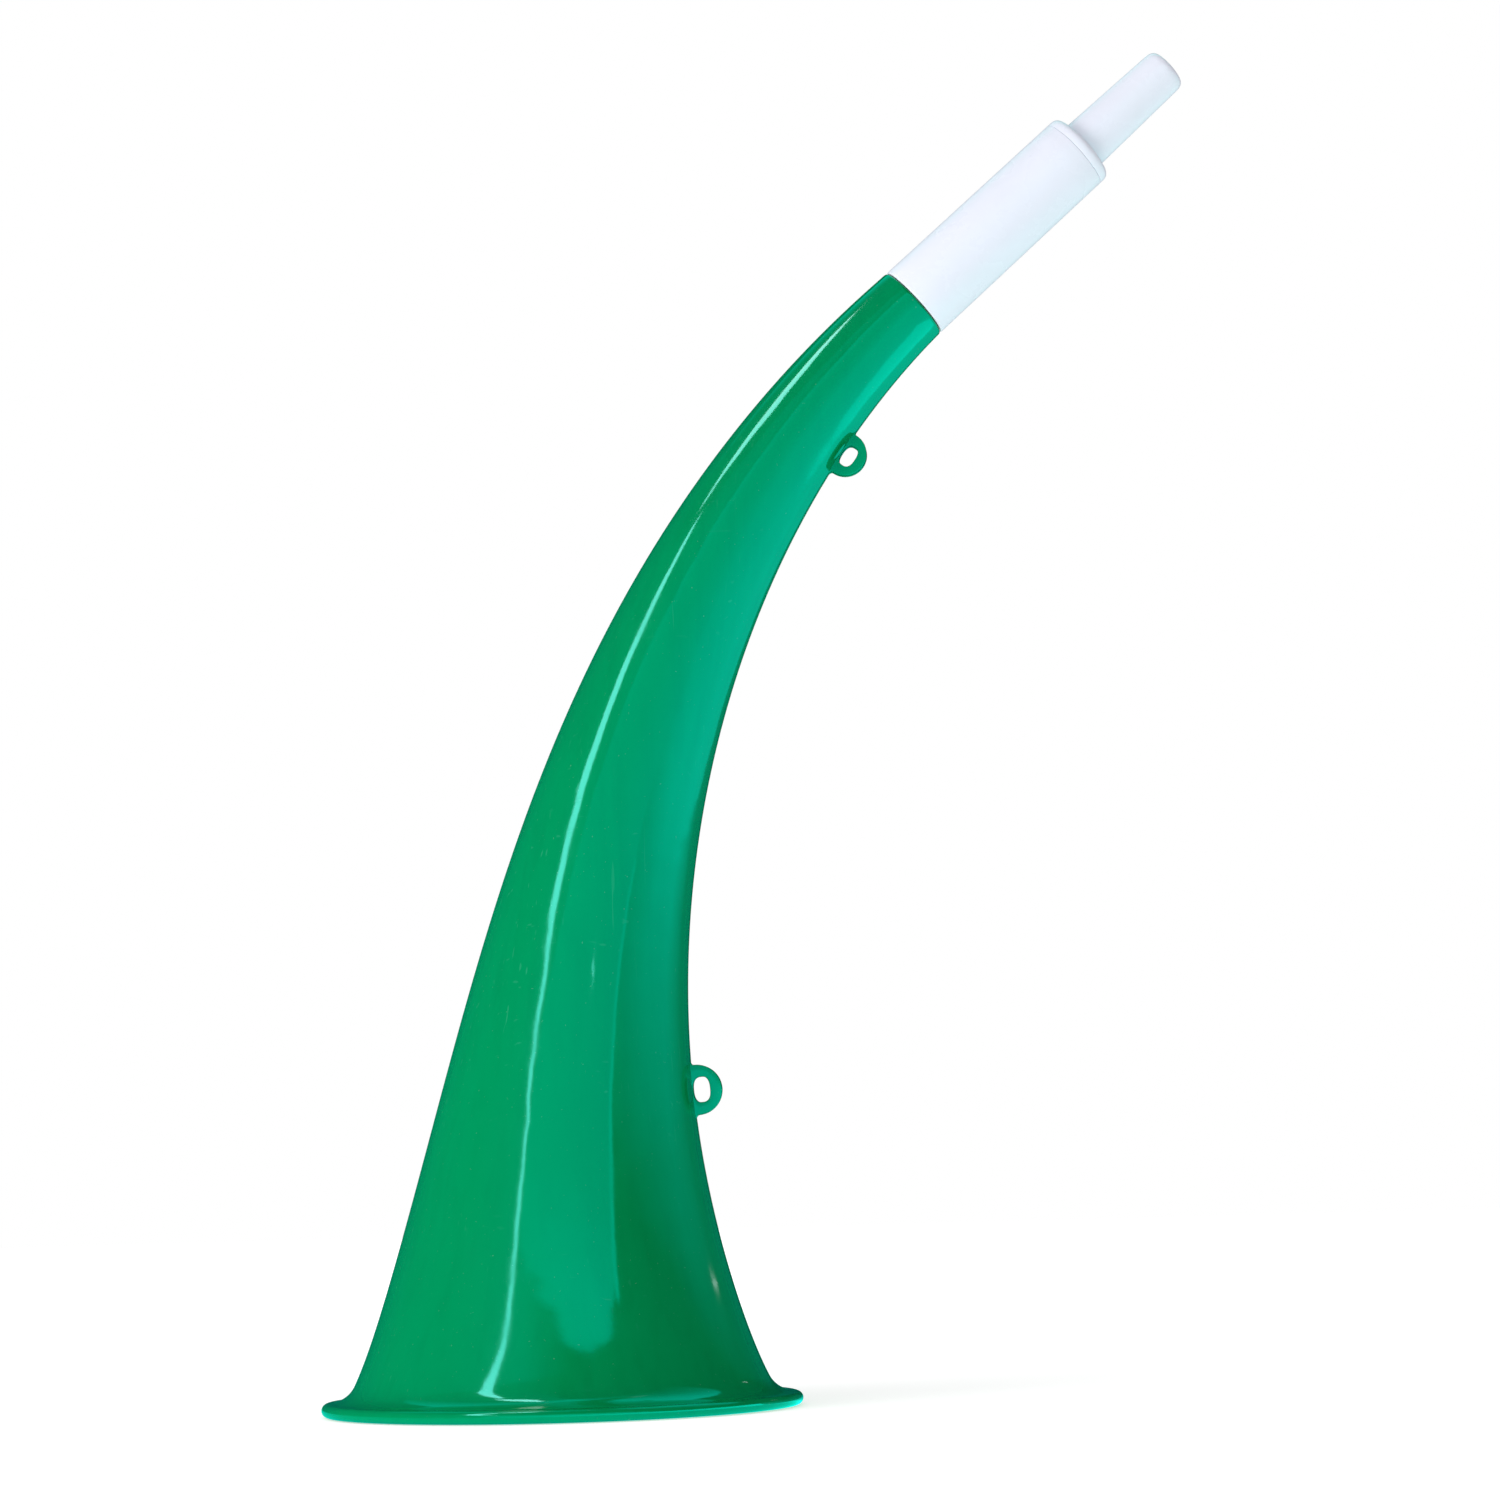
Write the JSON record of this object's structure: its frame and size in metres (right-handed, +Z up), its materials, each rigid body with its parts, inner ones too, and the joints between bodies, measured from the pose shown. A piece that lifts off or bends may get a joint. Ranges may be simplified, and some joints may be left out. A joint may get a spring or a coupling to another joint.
{
  "type": "curved stadium horn",
  "caption": "Curved ox-horn shaped stadium horn: flanged bell, tapering throat, cord lugs on the hollow side and a pull-off reed mouthpiece.",
  "frame": {"origin": "middle of the bounding box at the height of the bell rim's underside, on which the horn stands", "axes": "+Z up from the bell rim, +X towards the mouth end, which the horn bends to, +Y across the seam to the left shell"},
  "size_m": [0.2266, 0.12, 0.3407],
  "materials": {
    "shell_plastic": "glossy moulded green",
    "mouthpiece_plastic": "soft-gloss moulded white",
    "reed_plastic": "satin moulded off-white",
    "tongue_plastic": "thin translucent amber strip"
  },
  "bodies": {
    "horn": {"horn_shell_left": "shell_plastic", "horn_shell_right": "shell_plastic"},
    "mouthpiece": {"mouthpiece_barrel": "mouthpiece_plastic", "reed_holder": "reed_plastic", "reed_clip": "reed_plastic"},
    "lip_tube": {"lip_tube": "mouthpiece_plastic"},
    "reed": {"reed_tongue": "tongue_plastic"}
  },
  "joints": [
    {"name": "mouthpiece_pull", "type": "slide", "parent": "horn", "child": "mouthpiece", "axis": [0.7524, 0, 0.6587], "range_m": [0, 0.02]},
    {"name": "lip_tube_pull", "type": "slide", "parent": "mouthpiece", "child": "lip_tube", "axis": [0.7524, 0, 0.6587], "range_m": [0, 0.012]},
    {"name": "reed_beat", "type": "hinge", "parent": "mouthpiece", "child": "reed", "pos_m": [0.0424, 0, 0.27573], "axis": [0, 1, 0], "range_deg": [-3, 2], "stiffness_Nm_per_rad": 0.004}
  ]
}
